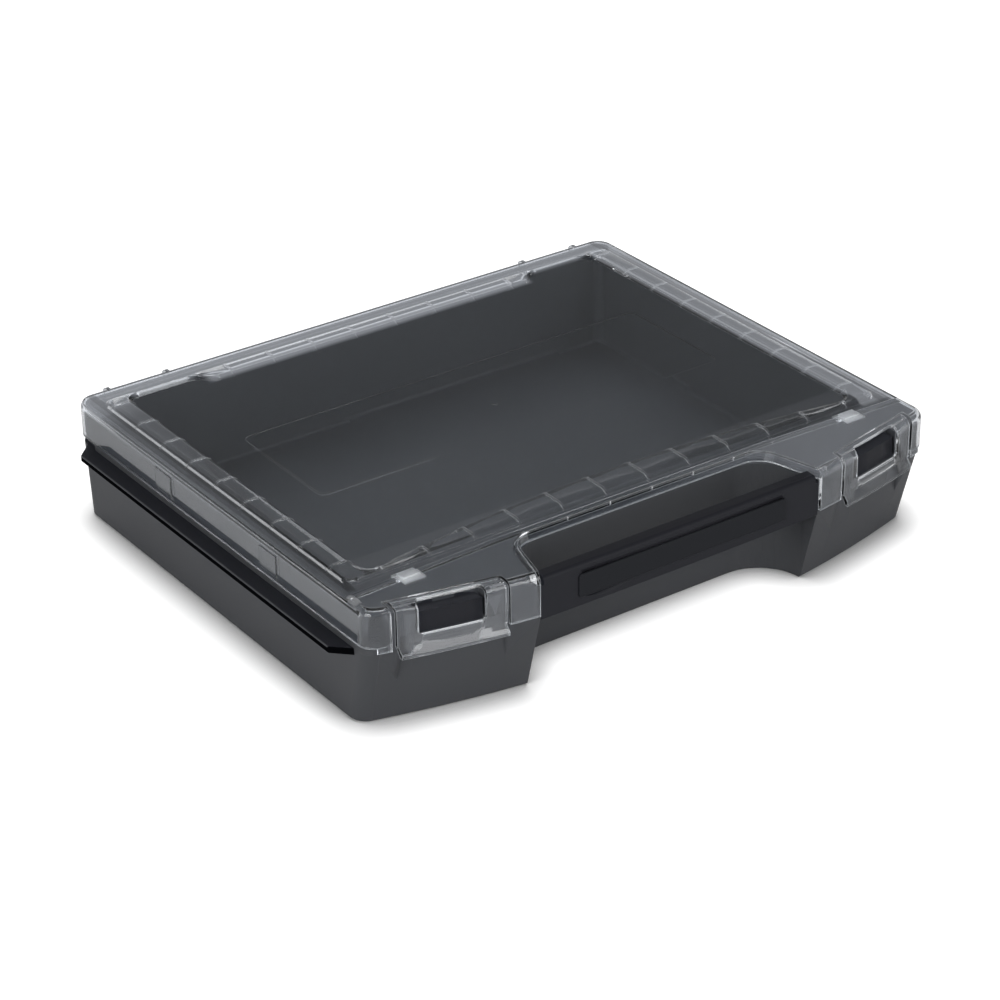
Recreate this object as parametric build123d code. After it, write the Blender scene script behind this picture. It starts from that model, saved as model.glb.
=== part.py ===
from build123d import *
import math
import os

os.makedirs("parts", exist_ok=True)

# Small parts storage box, lying flat and closed, in millimetres.
# X runs along the handle side, Y from the handle side to the hinges, Z up.
# The origin is under the middle of the closed box, on the surface it stands on.

# Lid plan
lid_width = 366.8
lid_depth = 320.0
lid_back_y = 155.0
front_radius = 650.0
corner_radius = 10.0

# Lid heights, walls and clearances to the tray
pod_top_z = 71.5
panel_drop = 1.5
front_skirt_depth = 24.5
side_skirt_depth = 21.5
skirt_step_setback = 25.0
shell_wall = 1.8
panel_wall = 2.0
lid_edge_round = 5.0
lid_inner_break = 2.0
lid_gap = 1.0
lid_rest_gap = 0.6

# Latch tabs at the front of the lid, with their windows and finger lips
tab_outer_margin = 15.6
tab_width = 57.3
inner_slit = 2.0
outer_slit = 2.6
tab_root_setback = 8.0
root_gap = 0.4
inner_strap = 10.7
outer_strap = 11.0
window_rise = 6.3
window_depth = 5.1
window_corner = 2.5
lip_inset = 0.5
lip_reach = 3.0
lip_drop = 4.0
lip_height = 2.2
lip_root_rise = 1.5
lip_root_thickness = 2.6

# Hand recess in the tray and notch in the lid over it
recess_margin = 19.5
recess_depth = 47.0
recess_end_radius = 28.0
notch_margin = 9.6
notch_overhang = 1.0
notch_slant = 15.0
notch_corner = 15.0
flange_depth = 6.5

# Raised border between the panel and the two front pods of the lid
pod_border_start = 5.1
pod_border_margin = 3.4
pod_border_setback = 2.9
pod_border_run = 3.7

# Stiffening bead round the lid panel and its cross ribs
bead_side_margin = 8.4
bead_back_margin = 13.0
bead_front_setback = 7.5
bead_corner = 8.0
bead_side_width = 16.0
bead_back_width = 6.0
bead_front_width = 22.5
bead_inner_front_radius = 845.0
bead_wide_width = 16.0
bead_wide_margin = 51.0
bead_step_run = 10.0
bead_inner_corner = 7.0
bead_height = 2.2
bead_slope = 60.0
bead_wall = 1.2
rib_pitch = 27.6
side_rib_pitch = 27.5
side_rib_margin = 6.0
rib_thickness = 1.2
rib_proud = 0.5

# Label field sunk into the lid panel, and the mark where the moulding was fed
field_margin = 26.0
field_setback = 96.5
field_length = 79.5
field_corner = 5.0
field_depth = 0.3
feed_mark_setback = 144.6
feed_mark_radius = 1.6
feed_mark_height = 0.4

# Small bosses on the border of the pods and pads on the side skirts
boss_margin = 38.8
boss_length = 10.0
boss_width = 5.0
boss_height = 0.7
back_pad_setback = 98.0
front_pad_setback = 203.5
pad_rise = 2.0
pad_length = 16.0
pad_height = 14.0
pad_proud = 0.6

# Tray
side_inset = 0.5
front_inset = 1.6
side_draft = 1.7
front_lean = 14.5
tray_wall = 3.2
rim_wall = 2.0
floor_thickness = 2.6
deck_thickness = 2.4
floor_corner = 1.5
bottom_edge_break = 1.0
foot_width = 16.0
foot_height = 0.8

# Side rails
rail_reach = 9.6
rail_thickness = 3.8
rail_front_setback = 48.0
rail_back_setback = 21.0
rail_edge_round = 0.8

# Catch and finger recess under each tab
catch_inner_gap = 0.7
catch_outer_gap = 1.8
catch_bottom_gap = 0.1
catch_top_drop = 6.4
catch_gap = 0.7
catch_ramp = 0.5
catch_notch = 2.2
catch_depth = 7.0
finger_inner_margin = 3.0
finger_outer_margin = 2.8
finger_bottom_z = 26.0
housing_wall = 2.4

# Grip bar and its label plate
bar_setback = 7.1
bar_bow = 1.0
bar_depth = 9.0
bar_top_drop = 3.5
bar_height = 24.0
bar_front_round = 2.5
bar_edge_round = 0.8
bar_shoulder_drop = 4.5
bar_lid_gap = 2.2
bar_skin = 2.2
bar_web = 1.8
bar_web_pitch = 42.0
tenon_length = 2.8
tenon_thickness = 4.6
tenon_back_margin = 1.0
tenon_rise = 3.0
tenon_height = 14.0
tenon_fit = 0.1
plate_margin = 23.3
plate_rise = 5.0
plate_height = 13.4
plate_corner = 2.0
plate_thickness = 2.0
plate_proud = 0.6
plate_edge_break = 0.4
plate_fit = 0.1

# Hinges
hinge_margin = 40.4
hinge_pitch = 38.0
hinge_setback = 0.7
hinge_rise = 1.4
cheek_thickness = 2.4
cheek_side_gap = 0.5
knuckle_radius = 2.8
pin_radius = 1.25
pin_running_fit = 0.06
pin_press_fit = 0.02
skirt_notch_gap = 0.6

# Reach of cuts and of pieces that are trimmed afterwards
overlap = 1.0
far = 2 * lid_width
trim_angle = 30.0

# Plan of the lid and of the notch and recess in its front
lid_half_width = lid_width / 2
lid_front_y = lid_back_y - lid_depth
front_centre_y = lid_front_y + front_radius
skirt_step_y = lid_front_y + skirt_step_setback
tab_outer_x = lid_half_width - tab_outer_margin
tab_inner_x = tab_outer_x - tab_width
tab_middle_x = (tab_inner_x + tab_outer_x) / 2
window_inner_x = tab_inner_x + inner_strap
window_outer_x = tab_outer_x - outer_strap
recess_half_width = tab_inner_x - recess_margin
recess_wall_y = lid_front_y + recess_depth
notch_half_width = recess_half_width - notch_margin
notch_y = recess_wall_y - notch_overhang
pod_border_inner_x = notch_half_width + pod_border_start
pod_border_outer_x = lid_half_width - pod_border_margin
pod_border_inner_y = recess_wall_y + pod_border_setback
pod_border_outer_y = pod_border_inner_y - pod_border_run

# Plan of the bead
bead_half_width = lid_half_width - bead_side_margin
bead_back_y = lid_back_y - bead_back_margin
bead_front_y = recess_wall_y + bead_front_setback
bead_inner_half_width = bead_half_width - bead_side_width
bead_inner_back_y = bead_back_y - bead_back_width
bead_inner_front_y = bead_front_y + bead_front_width
bead_wide_half_width = bead_inner_half_width - bead_wide_margin
bead_wide_back_y = bead_back_y - bead_wide_width

# Heights
panel_top_z = pod_top_z - panel_drop
skirt_front_z = pod_top_z - front_skirt_depth
skirt_side_z = pod_top_z - side_skirt_depth
flange_bottom_z = pod_top_z - flange_depth
rim_top_z = panel_top_z - panel_wall - lid_rest_gap
recess_rim_z = flange_bottom_z - lid_rest_gap
side_collar_z = skirt_side_z - lid_rest_gap
shoulder_z = skirt_front_z - lid_gap
window_bottom_z = skirt_front_z + window_rise
catch_bottom_z = window_bottom_z + catch_bottom_gap
catch_top_z = pod_top_z - catch_top_drop
lip_top_z = skirt_front_z + lip_root_rise
lip_bottom_z = skirt_front_z - lip_drop
bar_top_z = pod_top_z - bar_top_drop
bar_bottom_z = bar_top_z - bar_height
plate_bottom_z = bar_bottom_z + plate_rise
hinge_z = skirt_side_z + hinge_rise

# Catches, finger recesses, grip bar and hinges
catch_inner_x = window_inner_x + catch_inner_gap
catch_outer_x = window_outer_x - catch_outer_gap
catch_front_y = lid_front_y + shell_wall + catch_gap
catch_back_y = catch_front_y + catch_depth
finger_inner_x = tab_inner_x - finger_inner_margin
finger_outer_x = tab_outer_x - finger_outer_margin
bar_front_y = lid_front_y + bar_setback
plate_half_width = recess_half_width - plate_margin
hinge_middle_x = lid_half_width - hinge_margin
hinge_y = lid_back_y + hinge_setback


def plan(half_width, back_y, front_y, corner, z):
    """Face at height z with straight sides and back, a bowed front and four round corners."""
    radius = front_centre_y - front_y
    front_corner_y = front_centre_y - math.sqrt(radius**2 - half_width**2)
    outline = [
        Line((-half_width, front_corner_y), (-half_width, back_y)),
        Line((-half_width, back_y), (half_width, back_y)),
        Line((half_width, back_y), (half_width, front_corner_y)),
        ThreePointArc((half_width, front_corner_y), (0, front_y), (-half_width, front_corner_y)),
    ]
    face = make_face(Curve() + outline)
    return Pos(0, 0, z) * fillet(face.vertices(), corner)


def lid_plan(inset, z):
    """The lid's outline, moved inwards by inset."""
    return plan(lid_half_width - inset, lid_back_y - inset, lid_front_y + inset, corner_radius - inset, z)


def block(x0, x1, y0, y1, z0, z1):
    """Box between two corners."""
    return Pos((x0 + x1) / 2, (y0 + y1) / 2, (z0 + z1) / 2) * Box(x1 - x0, y1 - y0, z1 - z0)


def front_band(x0, x1, outer_y, inner_y, z0, z1):
    """Solid between two arcs level with the front; outer_y and inner_y are on the centre line."""
    disc = Pos(0, front_centre_y) * Circle(front_centre_y - outer_y)
    hole = Pos(0, front_centre_y) * Circle(front_centre_y - inner_y)
    strip = Pos((x0 + x1) / 2, 0) * Rectangle(x1 - x0, far)
    front_half = Pos(0, -far / 2) * Rectangle(far, far)
    return Pos(0, 0, z0) * extrude((disc - hole) & strip & front_half, z1 - z0)


def recess_prism(grow, z0, z1):
    """The hand recess of the tray, grown by the given amount."""
    half_width = recess_half_width + grow
    wall_y = recess_wall_y + grow
    face = Pos(0, wall_y - far / 2) * Rectangle(2 * half_width, far)
    inner_corners = face.vertices().sort_by(Axis.Y)[2:]
    return Pos(0, 0, z0) * extrude(fillet(inner_corners, recess_end_radius + grow), z1 - z0)


def notch_face(grow):
    """The notch of the lid over the hand recess, grown by the given amount."""
    run = far / 4
    flare = run * math.tan(math.radians(notch_slant))
    corners = [
        (notch_half_width, notch_y),
        (notch_half_width + flare, notch_y - run),
        (-notch_half_width - flare, notch_y - run),
        (-notch_half_width, notch_y),
    ]
    face = make_face(Polyline(*corners, close=True))
    inner_corners = face.vertices().sort_by(Axis.Y)[2:]
    face = fillet(inner_corners, notch_corner)
    return offset(face, grow) if grow else face


def notch_prism(grow, z0, z1):
    """The notch of the lid as a solid."""
    return Pos(0, 0, z0) * extrude(notch_face(grow), z1 - z0)


def both_sides(solid):
    """The solid and its mirror image across the middle of the box."""
    return solid + mirror(solid, Plane.YZ)


def wall_plan(inset, z):
    """Outline of the tray's drafted walls at height z, moved inwards by inset."""
    drop = (shoulder_z - z) * math.tan(math.radians(side_draft))
    lean = (shoulder_z - z) * math.tan(math.radians(front_lean))
    half_width = lid_half_width - side_inset - drop - inset
    back_y = lid_back_y - side_inset - drop - inset
    front_y = lid_front_y + front_inset + lean + inset
    return plan(half_width, back_y, front_y, corner_radius - inset, z)


def tray_shell():
    """Outer form of the tray: drafted walls, leaning front, rim that enters the lid."""
    sections = [wall_plan(bottom_edge_break, 0), wall_plan(0, bottom_edge_break), wall_plan(0, shoulder_z)]
    body = loft(sections, ruled=True)
    rim = extrude(lid_plan(shell_wall + lid_gap, shoulder_z), rim_top_z - shoulder_z)
    collar = extrude(lid_plan(side_inset, shoulder_z), side_collar_z - shoulder_z)
    collar &= block(-far, far, skirt_step_y + lid_gap, lid_back_y - 2 * corner_radius, 0, far)
    return body + rim + collar


def tray_compartment():
    """Main compartment behind the straight inner wall."""
    sections = [
        wall_plan(tray_wall + floor_corner, floor_thickness),
        wall_plan(tray_wall, floor_thickness + floor_corner),
        lid_plan(shell_wall + lid_gap + rim_wall, rim_top_z),
    ]
    return loft(sections, ruled=True) & block(-far, far, recess_wall_y + tray_wall, far, 0, far)


def pod_cores():
    """Hollows of the two front pods, open underneath and closed by a deck on top."""
    rim_inset = shell_wall + lid_gap + rim_wall
    cores = loft([wall_plan(tray_wall, 0), lid_plan(rim_inset, rim_top_z)], ruled=True)
    cores &= block(-far, far, -far, recess_wall_y, 0, rim_top_z - deck_thickness)
    cores -= recess_prism(tray_wall, 0, far)
    cores -= notch_prism(rim_inset, recess_rim_z - tray_wall, far)
    return cores - both_sides(front_housing())


def front_housing():
    """Room kept solid in the right pod, for the walls behind its finger recess and catch."""
    lower = front_band(
        finger_inner_x - housing_wall,
        finger_outer_x + housing_wall,
        -far / 2,
        finger_plane_y() + housing_wall,
        finger_bottom_z,
        catch_bottom_z + housing_wall,
    )
    upper = front_band(
        catch_inner_x - catch_notch - housing_wall,
        catch_outer_x + catch_notch + housing_wall,
        -far / 2,
        catch_back_y + housing_wall,
        catch_bottom_z - housing_wall,
        far / 2,
    )
    return lower + upper


def finger_plane_y():
    """Where the upright back of the finger recess meets the leaning front, on the centre line."""
    rise = shoulder_z - finger_bottom_z
    return lid_front_y + front_inset + rise * math.tan(math.radians(front_lean))


def finger_recess():
    """Cut that lets fingertips reach behind the lip of a latch tab."""
    return front_band(
        finger_inner_x, finger_outer_x, -far / 2, finger_plane_y(), finger_bottom_z, catch_bottom_z
    )


def catch():
    """Block behind the window of a latch tab, with a ramp on its face."""
    section = make_face(
        Polyline(
            (0, catch_front_y, catch_bottom_z),
            (0, catch_front_y + catch_ramp, catch_top_z),
            (0, catch_back_y, catch_top_z),
            (0, catch_back_y, catch_bottom_z),
            close=True,
        )
    )
    ring = revolve(section, Axis((0, front_centre_y, 0), (0, 0, 1)), trim_angle)
    return ring & block(catch_inner_x, catch_outer_x, -far, 0, 0, far)


def catch_notches():
    """Slots in the rim on both sides of a catch."""
    return front_band(
        catch_inner_x - catch_notch,
        catch_outer_x + catch_notch,
        -far / 2,
        catch_back_y,
        catch_bottom_z,
        far / 2,
    )


def side_rail():
    """Flange along one side of the tray, with its ends cut at 45 degrees."""
    wall_x = lid_half_width - side_inset - tray_wall / 2
    edge_x = lid_half_width - side_inset + rail_reach
    run = edge_x - wall_x
    front_y = lid_front_y + rail_front_setback
    back_y = lid_back_y - rail_back_setback
    corners = [(wall_x, front_y - run), (edge_x, front_y), (edge_x, back_y), (wall_x, back_y + run)]
    rail = extrude(make_face(Polyline(*corners, close=True)), rail_thickness)
    outer_edges = rail.edges().filter_by(Axis.Y).group_by(Axis.X)[-1]
    rail = fillet(outer_edges, rail_edge_round)
    return Pos(0, 0, shoulder_z - rail_thickness) * rail


def hinge_cylinder(x0, x1, radius):
    """Cylinder about the hinge axis."""
    return Pos((x0 + x1) / 2, hinge_y, hinge_z) * Rot(0, 90, 0) * Cylinder(radius, x1 - x0)


def cheek_faces():
    """Outer and inner X of the two hinge cheeks at the right."""
    left = hinge_middle_x - hinge_pitch / 2
    right = hinge_middle_x + hinge_pitch / 2
    half = cheek_thickness / 2
    return left - half, left + half, right - half, right + half


def tray_knuckle():
    """Hinge knuckle on the back wall of the tray, at the right, with its bore."""
    _, left_inner, right_inner, _ = cheek_faces()
    x0 = left_inner + cheek_side_gap
    x1 = right_inner - cheek_side_gap
    rim_y = lid_back_y - shell_wall - lid_gap
    web = block(x0, x1, rim_y - rim_wall / 2, hinge_y, hinge_z - knuckle_radius, hinge_z + knuckle_radius)
    return web + hinge_cylinder(x0, x1, knuckle_radius)


def hinge_bore(fit):
    """Bore for the right hinge pin."""
    x0, _, _, x1 = cheek_faces()
    return hinge_cylinder(x0 - overlap, x1 + overlap, pin_radius + fit)


def foot_pocket():
    """Shallow pocket under the floor, so that the tray stands on its outer band."""
    half_width = lid_half_width - foot_width
    front_y = recess_wall_y + foot_width
    back_y = lid_back_y - foot_width
    face = Pos(0, (front_y + back_y) / 2) * RectangleRounded(2 * half_width, back_y - front_y, corner_radius)
    return extrude(face, foot_height)


def tenon(fit):
    """Tongue at the right end of the grip bar, or its socket when fit is added."""
    x0 = recess_half_width - overlap
    x1 = recess_half_width + tenon_length + fit
    back_y = bar_front_y + bar_depth - tenon_back_margin
    front_y = back_y - tenon_thickness
    bottom_z = bar_bottom_z + tenon_rise
    return block(x0, x1, front_y - fit, back_y + fit, bottom_z - fit, bottom_z + tenon_height + fit)


def make_base_tray():
    """Dark tray in one moulding: walls, floor, pods, rails, catches and hinge knuckles."""
    tray = tray_shell()
    tray -= recess_prism(0, -overlap, recess_rim_z)
    tray -= notch_prism(shell_wall + lid_gap, recess_rim_z, far)
    tray += both_sides(side_rail())
    tray -= tray_compartment()
    tray -= pod_cores()
    tray -= both_sides(finger_recess())
    tray -= both_sides(catch_notches())
    tray += both_sides(catch())
    tray += both_sides(tray_knuckle())
    tray -= both_sides(hinge_bore(pin_press_fit))
    tray -= both_sides(tenon(tenon_fit))
    tray -= foot_pocket()
    return tray


def bar_face_y(x):
    """Y of the bowed front of the grip bar."""
    return bar_front_y + bar_bow * (x / recess_half_width) ** 2


def make_handle_bar():
    """Grip bar between the pods: bowed front, hollow underneath, tongues at its ends."""
    half = recess_half_width
    end_y = bar_face_y(half)
    back_y = bar_front_y + bar_depth
    outline = [
        ThreePointArc((-half, end_y), (0, bar_front_y), (half, end_y)),
        Line((half, end_y), (half, back_y)),
        Line((half, back_y), (-half, back_y)),
        Line((-half, back_y), (-half, end_y)),
    ]
    bar = Pos(0, 0, bar_bottom_z) * extrude(make_face(Curve() + outline), bar_top_z - bar_bottom_z)
    top = bar.edges().group_by(Axis.Z)[-1]
    bar = fillet(top.sort_by(Axis.Y)[0], bar_front_round)
    back_top = bar.edges().group_by(Axis.Z)[-1].sort_by(Axis.Y)[-1]
    bar = fillet(back_top, bar_edge_round)
    bar -= bar_channel()
    corner = block(half - bar_lid_gap, half + overlap, -far, 0, bar_top_z - bar_shoulder_drop, far)
    bar -= both_sides(corner)
    bar += both_sides(tenon(0))
    bar -= label_plate(plate_fit, False)
    return bar


def bar_channel():
    """Hollow of the grip bar, open underneath and crossed by webs."""
    front_y = bar_front_y + plate_thickness - plate_proud + bar_skin
    back_y = bar_front_y + bar_depth - bar_skin
    half = recess_half_width - bar_lid_gap - bar_skin
    channel = block(-half, half, front_y, back_y, bar_bottom_z - overlap, bar_top_z - bar_skin)
    web_count = int(half / bar_web_pitch)
    for step in range(-web_count, web_count + 1):
        middle = step * bar_web_pitch
        channel -= block(middle - bar_web / 2, middle + bar_web / 2, -far, 0, 0, far)
    return channel


def label_plate(fit, finished):
    """Blank plate on the front of the grip bar, or its pocket when fit is added."""
    width = 2 * (plate_half_width + fit)
    height = plate_height + 2 * fit
    middle_z = plate_bottom_z + plate_height / 2
    front_y = bar_front_y - plate_proud
    face = Plane.XZ * RectangleRounded(width, height, plate_corner + fit)
    plate = extrude(face, plate_thickness)
    if finished:
        front_edges = plate.edges().group_by(Axis.Y)[0]
        plate = chamfer(front_edges, plate_edge_break)
    return Pos(0, front_y + plate_thickness, middle_z) * plate


def lid_blank():
    """Lid shell without its slits, notch or bead."""
    outer = extrude(lid_plan(0, skirt_front_z), pod_top_z - skirt_front_z)
    outer = fillet(outer.edges().group_by(Axis.Z)[-1], lid_edge_round)
    inner_height = pod_top_z - shell_wall - skirt_front_z + overlap
    inner = extrude(lid_plan(shell_wall, skirt_front_z - overlap), inner_height)
    inner = chamfer(inner.edges().group_by(Axis.Z)[-1], lid_inner_break)
    outer -= extrude(Pos(0, 0, panel_top_z) * panel_side(0), far)
    inner -= extrude(Pos(0, 0, panel_top_z - panel_wall) * panel_side(-shell_wall), far)
    outer -= block(-far, far, skirt_step_y, far, 0, skirt_side_z)
    return outer, inner


def panel_side(shift):
    """Face that covers the lid behind the border of its two front pods."""
    slope = (pod_border_outer_y - pod_border_inner_y) / (pod_border_outer_x - pod_border_inner_x)
    edge_y = pod_border_inner_y + slope * (far - pod_border_inner_x)
    corners = [
        (-pod_border_inner_x, pod_border_inner_y + shift),
        (pod_border_inner_x, pod_border_inner_y + shift),
        (far, edge_y + shift),
        (far, far),
        (-far, far),
        (-far, edge_y + shift),
    ]
    return make_face(Polyline(*corners, close=True))


def bead_outer_face(grow, z):
    """Outer outline of the bead."""
    half_width = bead_half_width + grow
    middle_y = (bead_front_y + bead_back_y) / 2
    depth = bead_back_y - bead_front_y + 2 * grow
    return Pos(0, middle_y, z) * RectangleRounded(2 * half_width, depth, bead_corner + grow)


def bead_corner_y():
    """Y of the inner outline's front corners."""
    sagitta = bead_inner_front_radius - math.sqrt(bead_inner_front_radius**2 - bead_inner_half_width**2)
    return bead_inner_front_y - sagitta


def bead_inner_face(grow, z):
    """Inner outline of the bead: bowed in front, stepped at the back."""
    half = bead_inner_half_width
    corner_y = bead_corner_y()
    back = Polyline(
        (half, corner_y),
        (half, bead_inner_back_y),
        (bead_wide_half_width + bead_step_run, bead_inner_back_y),
        (bead_wide_half_width, bead_wide_back_y),
        (-bead_wide_half_width, bead_wide_back_y),
        (-bead_wide_half_width - bead_step_run, bead_inner_back_y),
        (-half, bead_inner_back_y),
        (-half, corner_y),
    )
    front = ThreePointArc((-half, corner_y), (0, bead_inner_front_y), (half, corner_y))
    face = make_face(Curve() + [back, front])
    face = fillet(face.vertices(), bead_inner_corner)
    return Pos(0, 0, z) * offset(face, grow)


def bead_form(inset, z0, z1, slope):
    """Bead as a ring whose two flanks lean inwards."""
    run = (z1 - z0) * math.tan(math.radians(slope))
    outer = loft([bead_outer_face(-inset, z0), bead_outer_face(-inset - run, z1)], ruled=True)
    inner = loft([bead_inner_face(inset, z0), bead_inner_face(inset + run, z1)], ruled=True)
    return outer - inner


def rib_slabs():
    """Upright slabs at every rib of the bead."""
    half = rib_thickness / 2
    slabs = []
    front_count = int(2 * bead_inner_half_width / rib_pitch) + 1
    for step in range(front_count):
        x = (step - (front_count - 1) / 2) * rib_pitch
        slabs.append(block(x - half, x + half, bead_front_y - overlap, bead_inner_front_y + overlap, 0, far))
    back_count = int(2 * bead_wide_half_width / rib_pitch) + 1
    for step in range(back_count):
        x = (step - (back_count - 1) / 2) * rib_pitch
        slabs.append(block(x - half, x + half, bead_wide_back_y - overlap, bead_back_y + overlap, 0, far))
    back_rib_y = bead_inner_back_y - side_rib_margin
    side_count = int((back_rib_y - bead_corner_y()) / side_rib_pitch) + 1
    for step in range(side_count):
        y = back_rib_y - step * side_rib_pitch
        right = block(
            bead_inner_half_width - overlap, bead_half_width + overlap, y - half, y + half, 0, far
        )
        slabs.append(right)
        slabs.append(mirror(right, Plane.YZ))
    return Compound(slabs)


def hinge_cheeks():
    """The two cheeks of the right hinge, on the back skirt of the lid."""
    x0, x1, x2, x3 = cheek_faces()
    skirt_y = lid_back_y - shell_wall
    back_y = hinge_y + knuckle_radius
    cheeks = []
    for left, right in ((x0, x1), (x2, x3)):
        web = block(left, right, skirt_y, back_y, hinge_z, panel_top_z)
        top_back = web.edges().filter_by(Axis.X).sort_by(lambda edge: edge.center().Y + edge.center().Z)[-1]
        web = fillet(top_back, knuckle_radius)
        cheeks.append(web + hinge_cylinder(left, right, knuckle_radius))
    return Compound(cheeks)


def skirt_notch():
    """Room for the tray's knuckle in the back skirt, at the right."""
    x0, _, _, x3 = cheek_faces()
    top_z = hinge_z + knuckle_radius + skirt_notch_gap
    return block(x0, x3, lid_back_y - shell_wall - overlap, lid_back_y + overlap, 0, top_z)


def tab_plane():
    """Plane on the right tab's hinge line: X along it, Y inwards."""
    angle = math.asin(tab_middle_x / front_radius)
    tangent = (math.cos(angle), math.sin(angle), 0)
    reach = front_radius - tab_root_setback
    x = reach * math.sin(angle)
    y = front_centre_y - reach * math.cos(angle)
    return Plane(origin=(x, y, pod_top_z - shell_wall / 2), x_dir=tangent, z_dir=(0, 0, 1))


def tab_region(x0, x1, inner_y):
    """Room in front of the tab's hinge line, between two X values."""
    front = tab_plane() * (Pos(0, inner_y - far / 4, 0) * Box(far, far / 2, far))
    return front & block(x0, x1, -far, 0, 0, far)


def tab_window():
    """Window of the right tab, over its face and the rounded edge."""
    inner_y = lid_front_y + window_depth
    cut = front_band(window_inner_x, window_outer_x, -far / 2, inner_y, window_bottom_z, far / 2)
    bottom = cut.edges().group_by(Axis.Z)[0].filter_by(GeomType.LINE)
    cut = fillet(bottom, window_corner)
    inner_uprights = cut.edges().filter_by(Axis.Z).sort_by(Axis.Y)[-2:]
    return fillet(inner_uprights, window_corner)


def tab_lip():
    """Flared lip that the fingers pull."""
    inner_y = lid_front_y + shell_wall
    edge_y = lid_front_y - lip_reach
    section = make_face(
        Polyline(
            (0, inner_y, lip_top_z + lip_root_thickness / 2),
            (0, lid_front_y, lip_top_z),
            (0, edge_y, lip_bottom_z + lip_height),
            (0, edge_y, lip_bottom_z),
            (0, edge_y + shell_wall, lip_bottom_z),
            (0, inner_y, lip_top_z - lip_root_thickness / 2),
            close=True,
        )
    )
    ring = revolve(section, Axis((0, front_centre_y, 0), (0, 0, 1)), trim_angle)
    return ring & block(tab_inner_x + lip_inset, tab_outer_x - lip_inset, -far, 0, 0, far)


def make_latch(shell):
    """Right latch tab: straps, window, lip and round root."""
    tab = shell & tab_region(tab_inner_x, tab_outer_x, 0)
    tab &= block(-far, far, -far, 0, lip_top_z, far)
    tab -= tab_window()
    tab += tab_lip()
    nose = tab_plane() * (Rot(0, 90, 0) * Cylinder(shell_wall / 2, far / 4))
    tab += nose & block(tab_inner_x, tab_outer_x, -far, 0, 0, far)
    return tab


def lid_bosses():
    """Small raised pieces of the lid: border bosses, skirt pads, feed mark."""
    border_y = (pod_border_inner_y + pod_border_outer_y) / 2
    boss_x = lid_half_width - boss_margin
    boss = block(
        boss_x - boss_length / 2,
        boss_x + boss_length / 2,
        border_y - boss_width,
        border_y + overlap,
        panel_top_z - panel_wall / 2,
        pod_top_z + boss_height,
    )
    pieces = [boss]
    skirt_x = lid_half_width - shell_wall / 2
    edge_x = lid_half_width + pad_proud
    bottom_z = skirt_side_z + pad_rise
    for setback in (front_pad_setback, back_pad_setback):
        y = lid_back_y - setback
        pieces.append(
            block(skirt_x, edge_x, y - pad_length / 2, y + pad_length / 2, bottom_z, bottom_z + pad_height)
        )
    mark_y = lid_back_y - feed_mark_setback
    mark = Pos(0, mark_y, panel_top_z - field_depth) * Cylinder(feed_mark_radius, 2 * feed_mark_height)
    return both_sides(Compound(pieces)) + mark


def label_field():
    """Field sunk into the top of the lid panel."""
    middle_y = lid_back_y - field_setback - field_length / 2
    face = RectangleRounded(2 * (bead_inner_half_width - field_margin), field_length, field_corner)
    return Pos(0, middle_y, panel_top_z - field_depth) * extrude(face, field_depth + overlap)


def make_lid(outer, inner):
    """Clear lid: panel, bead with ribs, skirt, flange round the notch and hinge cheeks."""
    flange = Pos(0, 0, flange_bottom_z) * extrude(notch_face(shell_wall), far) & outer
    hollow_top = panel_top_z + bead_height - bead_wall
    floor_z = panel_top_z - panel_wall
    hollow = bead_form(bead_wall, floor_z, hollow_top, bead_slope / 2)
    bead = bead_form(0, panel_top_z, panel_top_z + bead_height, bead_slope)
    ribs = bead_form(-rib_proud, panel_top_z, panel_top_z + bead_height + rib_proud, bead_slope)
    ribs &= rib_slabs()
    lid = outer - inner + flange
    lid -= notch_prism(0, 0, far)
    lid -= label_field()
    lid += bead
    lid += ribs
    lid -= hollow
    lid += lid_bosses()
    lid -= both_sides(skirt_notch())
    lid += both_sides(hinge_cheeks())
    lid -= both_sides(hinge_bore(pin_running_fit))
    root = shell_wall / 2 + root_gap
    lid -= both_sides(tab_region(tab_inner_x - inner_slit, tab_outer_x + outer_slit, root))
    return lid


def make_hinge_pin():
    """Right hinge pin."""
    x0, _, _, x1 = cheek_faces()
    return hinge_cylinder(x0, x1, pin_radius)


def save(solid, name):
    """Writes one piece to its own file."""
    solid.label = name
    export_step(solid, f"parts/{name}.step")


def main():
    """Builds every piece of the box."""
    outer, inner = lid_blank()
    latch = make_latch(outer - inner)
    pin = make_hinge_pin()
    save(make_base_tray(), "base_tray")
    save(make_handle_bar(), "handle_bar")
    save(label_plate(0, True), "handle_label_plate")
    save(make_lid(outer, inner), "lid")
    save(latch, "latch_right")
    save(mirror(latch, Plane.YZ), "latch_left")
    save(pin, "hinge_pin_right")
    save(mirror(pin, Plane.YZ), "hinge_pin_left")


main()
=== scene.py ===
"""Looks of a small parts storage box: dark moulded tray, clear hinged lid with two latch tabs, grip bar.

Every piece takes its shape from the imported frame. The script gives it smooth shading and a
moulded or polished finish, and sets up the floor, the lamps and the camera.
"""

import logging
import math
from dataclasses import dataclass
from enum import Enum
from functools import reduce

import bpy
from mathutils import Matrix, Vector


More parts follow.
